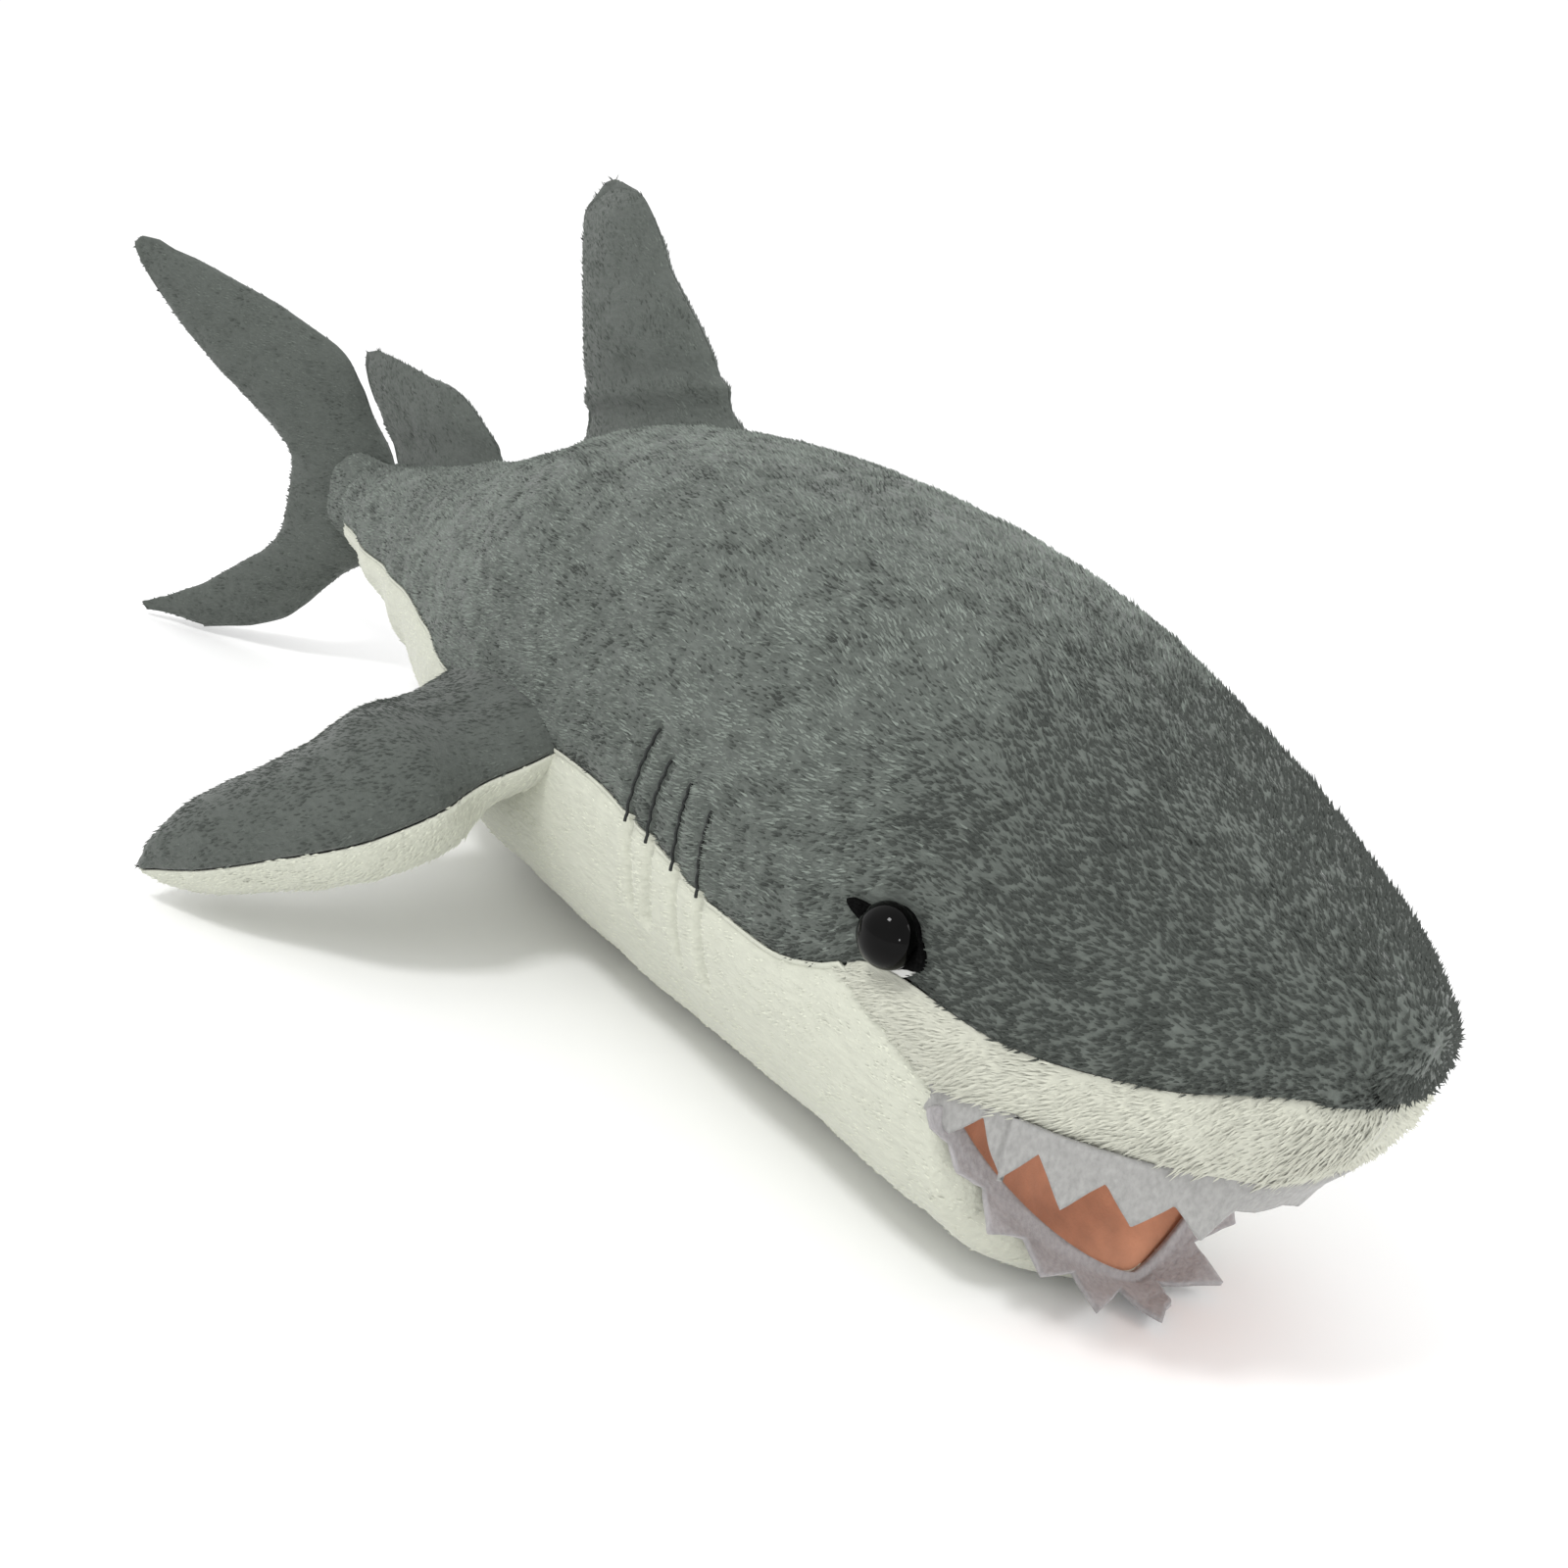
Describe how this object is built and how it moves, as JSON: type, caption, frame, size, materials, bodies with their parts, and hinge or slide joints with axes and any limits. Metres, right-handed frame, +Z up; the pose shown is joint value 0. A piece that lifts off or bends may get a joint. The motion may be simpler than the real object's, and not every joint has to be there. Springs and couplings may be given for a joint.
{
  "type": "plush shark",
  "caption": "Stuffed plush shark with a grey back, cream belly, open lined mouth with felt teeth, black safety eyes and soft fins sewn on at flexing seams.",
  "frame": {"origin": "middle of the whole length and width, on the surface that the shark lies on", "axes": "+X towards the nose, +Y to the shark's left, +Z up"},
  "size_m": [0.5293, 0.2646, 0.1898],
  "materials": {
    "grey_plush": "matte",
    "cream_plush": "matte",
    "long_cream_plush": "matte",
    "mouth_plush": "matte",
    "white_felt": "matte",
    "black_felt": "matte",
    "black_thread": "matte",
    "eye_plastic": "gloss",
    "washer_plastic": "satin",
    "fibre_filling": "matte"
  },
  "bodies": {
    "body": {"torso_stuffing": "fibre_filling", "back_panel_right": "grey_plush", "back_panel_left": "grey_plush", "belly_panel": "cream_plush", "muzzle_right": "long_cream_plush", "muzzle_left": "long_cream_plush", "palate_lining": "mouth_plush", "upper_teeth": "white_felt", "eye_right": "eye_plastic", "eye_left": "eye_plastic", "eye_washer_right": "washer_plastic", "eye_washer_left": "washer_plastic", "eye_patch_right": "black_felt", "eye_patch_left": "black_felt", "gill_stitches_right": "black_thread", "gill_stitches_left": "black_thread"},
    "jaw": {"jaw_stuffing": "fibre_filling", "chin_panel": "cream_plush", "jaw_lining": "mouth_plush", "lower_teeth": "white_felt"},
    "pectoral_right": {"pectoral_top_right": "grey_plush", "pectoral_underside_right": "cream_plush", "pectoral_stuffing_right": "fibre_filling"},
    "pectoral_left": {"pectoral_top_left": "grey_plush", "pectoral_underside_left": "cream_plush", "pectoral_stuffing_left": "fibre_filling"},
    "dorsal_fin": {"dorsal_face_right": "grey_plush", "dorsal_face_left": "grey_plush", "dorsal_stuffing": "fibre_filling"},
    "second_dorsal_fin": {"second_dorsal_face_right": "grey_plush", "second_dorsal_face_left": "grey_plush", "second_dorsal_stuffing": "fibre_filling"},
    "tail_fin": {"tail_fin_face_right": "grey_plush", "tail_fin_face_left": "grey_plush", "tail_fin_stuffing": "fibre_filling"}
  },
  "joints": [
    {"name": "jaw_open", "type": "hinge", "parent": "body", "child": "jaw", "pos_m": [0.2027, 0, 0.0461], "axis": [0, 1, 0], "range_deg": [-20, 4], "stiffness_Nm_per_rad": 0.5},
    {"name": "pectoral_right_flap", "type": "hinge", "parent": "body", "child": "pectoral_right", "pos_m": [0.0287, -0.0722, 0.0443], "axis": [-1, 0, 0], "range_deg": [-8, 42], "stiffness_Nm_per_rad": 0.5},
    {"name": "pectoral_left_flap", "type": "hinge", "parent": "body", "child": "pectoral_left", "pos_m": [0.0287, 0.0722, 0.0443], "axis": [1, 0, 0], "range_deg": [-8, 42], "stiffness_Nm_per_rad": 0.5},
    {"name": "dorsal_flop", "type": "hinge", "parent": "body", "child": "dorsal_fin", "pos_m": [-0.00158, 0, 0.13734], "axis": [0.9607, 0, 0.2777], "range_deg": [-35, 35], "stiffness_Nm_per_rad": 0.5},
    {"name": "second_dorsal_flop", "type": "hinge", "parent": "body", "child": "second_dorsal_fin", "pos_m": [-0.12388, 0, 0.09808], "axis": [0.9709, 0, 0.2395], "range_deg": [-25, 13], "stiffness_Nm_per_rad": 0.3},
    {"name": "tail_fin_sway", "type": "hinge", "parent": "body", "child": "tail_fin", "pos_m": [-0.1753, 0, 0.065], "axis": [0, 0, 1], "range_deg": [-60, 10], "stiffness_Nm_per_rad": 0.5}
  ]
}
